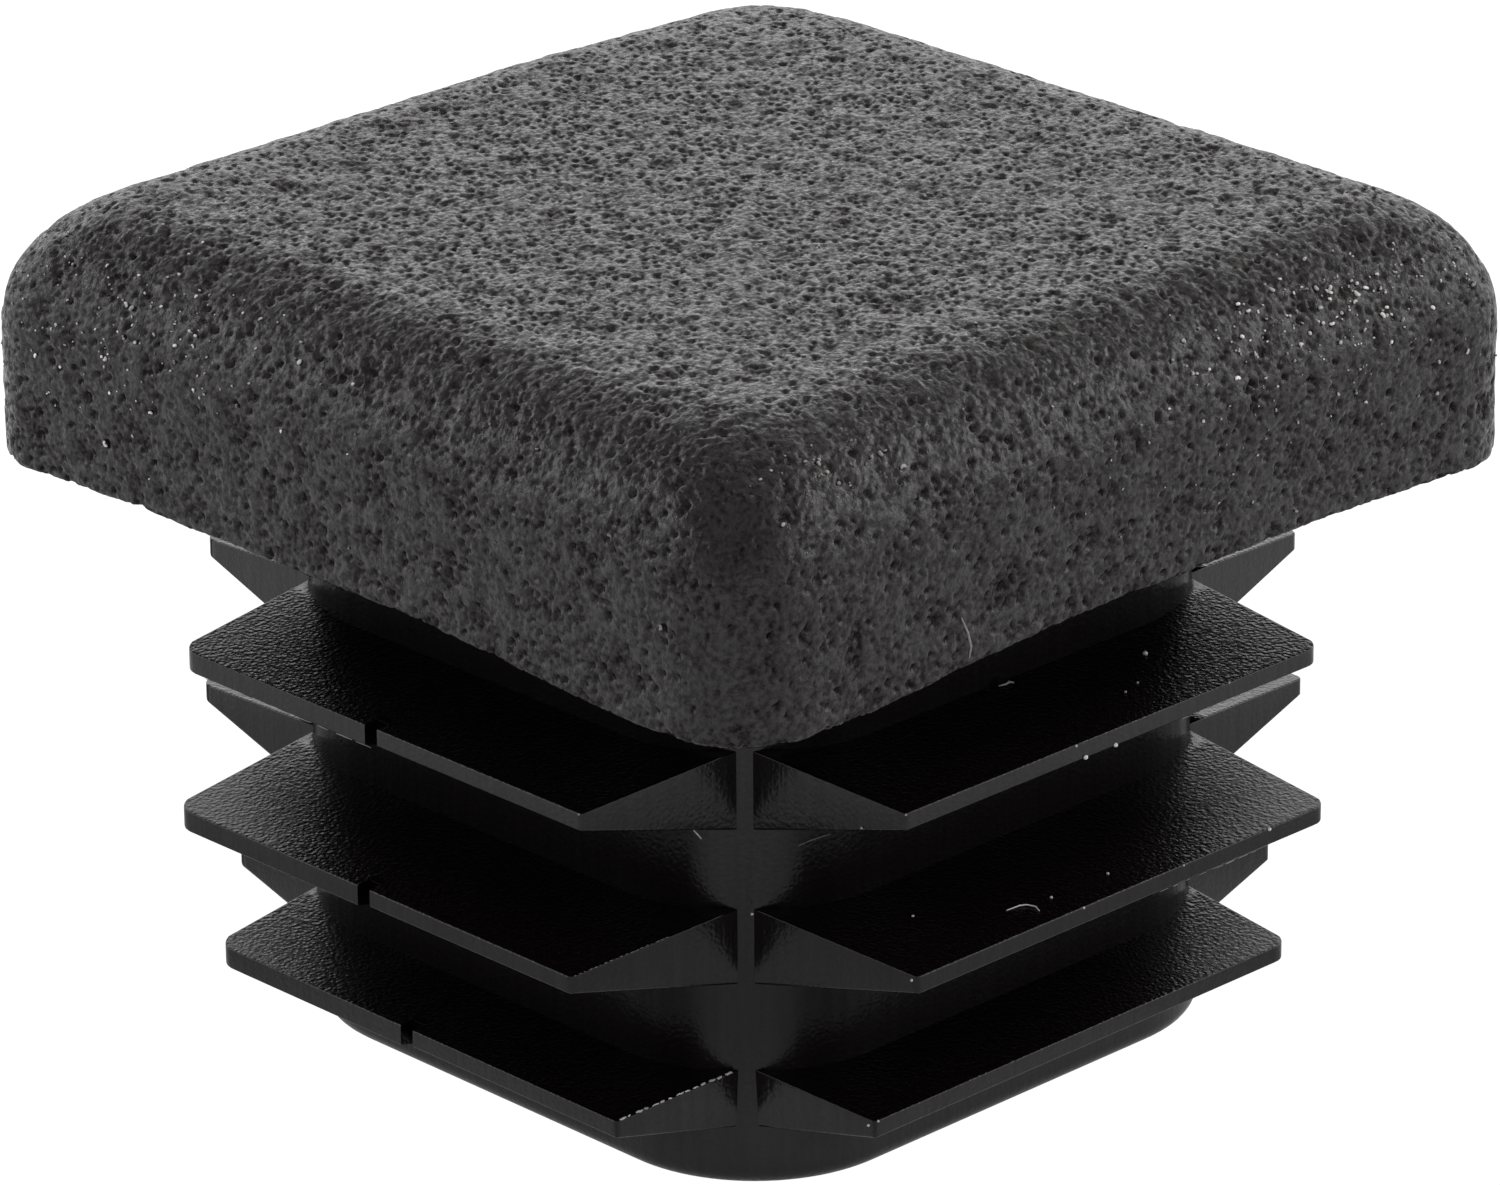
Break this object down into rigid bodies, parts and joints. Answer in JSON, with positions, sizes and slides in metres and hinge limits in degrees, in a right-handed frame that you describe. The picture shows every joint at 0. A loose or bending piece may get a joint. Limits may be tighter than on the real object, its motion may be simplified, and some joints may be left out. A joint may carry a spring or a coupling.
{
  "type": "square tube plug",
  "caption": "Square push-in sealing plug for a tube end: thick grained head with rounded edges on a hollow stem with wedge fins on each side.",
  "frame": {"origin": "centre of the open end of the stem, on the plug's axis", "axes": "+Z along the plug's axis, from the open end of the stem to the top of the head; X and Y square to the tube's sides"},
  "size_m": [0.025, 0.025, 0.0197],
  "materials": {
    "moulded_plastic": "black polyethylene, coarse spark-eroded grain on the head, smooth low gloss on the stem and fins"
  },
  "bodies": {
    "root": {"plug": "moulded_plastic"}
  },
  "joints": []
}
